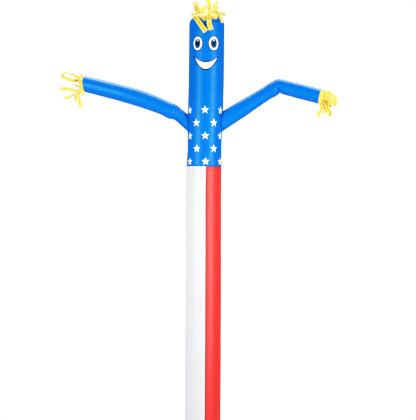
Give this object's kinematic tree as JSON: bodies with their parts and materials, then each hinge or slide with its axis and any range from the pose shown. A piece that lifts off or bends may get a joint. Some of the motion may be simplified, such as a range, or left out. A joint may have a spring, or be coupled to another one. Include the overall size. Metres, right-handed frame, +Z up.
{
  "type": "inflatable air dancer",
  "caption": "Tall tube-shaped advertising dancer of coated nylon, filled by air from below, with two thin arms, a smiling face and streamers for hair and hands.",
  "frame": {"origin": "middle of the open mouth at the floor, where the blower's collar holds it", "axes": "+Z up along the tube, -Y the side with the face, +X towards the arm with the sharp elbow"},
  "size_m": [3.6404, 0.6049, 6.3363],
  "materials": {
    "blue_cloth": "satin",
    "white_cloth": "satin",
    "red_cloth": "satin",
    "yellow_cloth": "satin"
  },
  "bodies": {
    "root": {"blue_tube": "blue_cloth", "crown": "blue_cloth", "arm_left": "blue_cloth", "arm_right": "blue_cloth", "white_panel": "white_cloth", "red_panel": "red_cloth", "tassel_left": "yellow_cloth", "tassel_right": "yellow_cloth", "hair": "yellow_cloth"}
  },
  "joints": []
}
